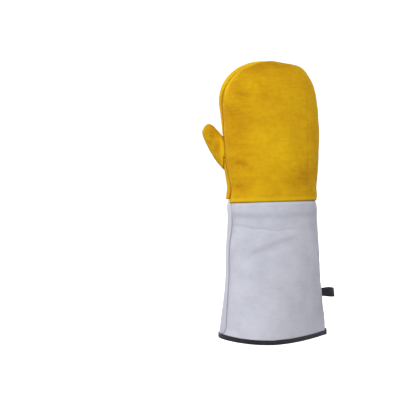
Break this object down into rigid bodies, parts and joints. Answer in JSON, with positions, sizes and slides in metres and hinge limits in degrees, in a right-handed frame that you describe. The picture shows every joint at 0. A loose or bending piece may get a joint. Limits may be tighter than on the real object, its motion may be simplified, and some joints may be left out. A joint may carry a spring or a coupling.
{
  "type": "leather barbecue mitt",
  "caption": "Long heat-resistant barbecue mitt of split leather: a padded one-piece hand with a side thumb, sewn to a long flared cuff with a bound hem and a hanging loop.",
  "frame": {"origin": "middle of the glove's footprint, on the surface it stands on, at the hem", "axes": "+Z from the hem to the fingertips, +X toward the little-finger side with the thumb at -X, -Y out of the back of the hand and +Y out of the palm"},
  "size_m": [0.2058, 0.1046, 0.4249],
  "materials": {
    "yellow_suede": "brushed split leather, matte nap",
    "grey_leather": "smooth split leather, matte",
    "black_tape": "woven tape, matte"
  },
  "bodies": {
    "root": {"hand_back": "yellow_suede", "hand_palm": "yellow_suede", "thumb_back": "yellow_suede", "thumb_palm": "yellow_suede", "cuff_back": "grey_leather", "cuff_palm": "grey_leather", "hem_binding": "black_tape", "hanging_loop": "black_tape"}
  },
  "joints": []
}
